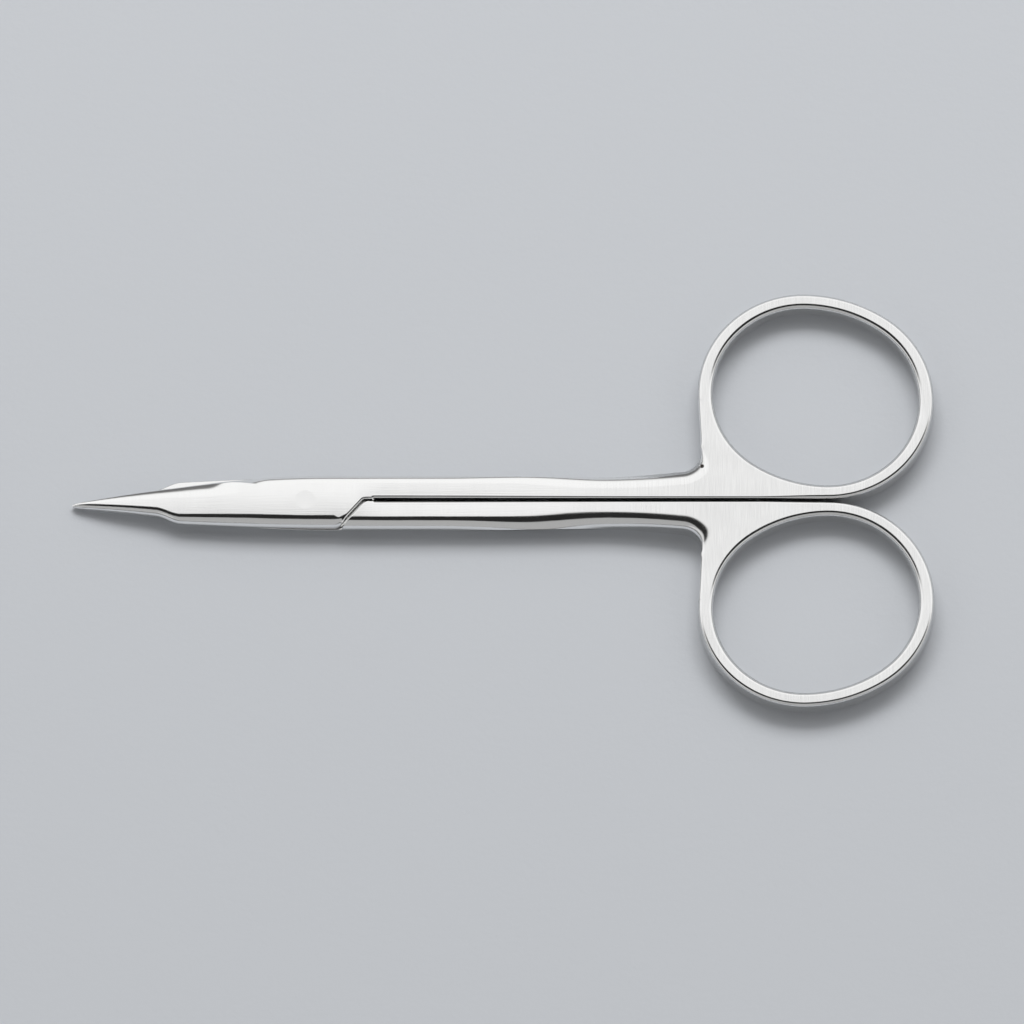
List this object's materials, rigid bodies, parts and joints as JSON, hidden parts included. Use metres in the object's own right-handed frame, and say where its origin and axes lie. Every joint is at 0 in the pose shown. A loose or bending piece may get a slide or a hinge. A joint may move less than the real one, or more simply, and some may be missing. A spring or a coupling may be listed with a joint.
{
  "type": "dissecting scissors",
  "caption": "Fine dissecting scissors in stainless steel, with short tapered blades, flat shanks, oval finger rings and a slotted screw at the pivot.",
  "frame": {"origin": "where the pivot axis meets the flat face that the closed scissors lie on", "axes": "+X from the pivot towards the finger rings, +Y across towards the upper half's ring, +Z along the pivot, out of the upper face"},
  "size_m": [0.1151, 0.059, 0.003],
  "materials": {
    "steel": "satin",
    "screw": "satin"
  },
  "bodies": {
    "lower_half": {"lower_half": "steel"},
    "upper_half": {"upper_half": "steel", "pivot_screw": "screw"}
  },
  "joints": [
    {"name": "blade_pivot", "type": "hinge", "parent": "lower_half", "child": "upper_half", "pos_m": [0, 0, 0.0015], "axis": [0, 0, 1], "range_deg": [0, 105]}
  ]
}
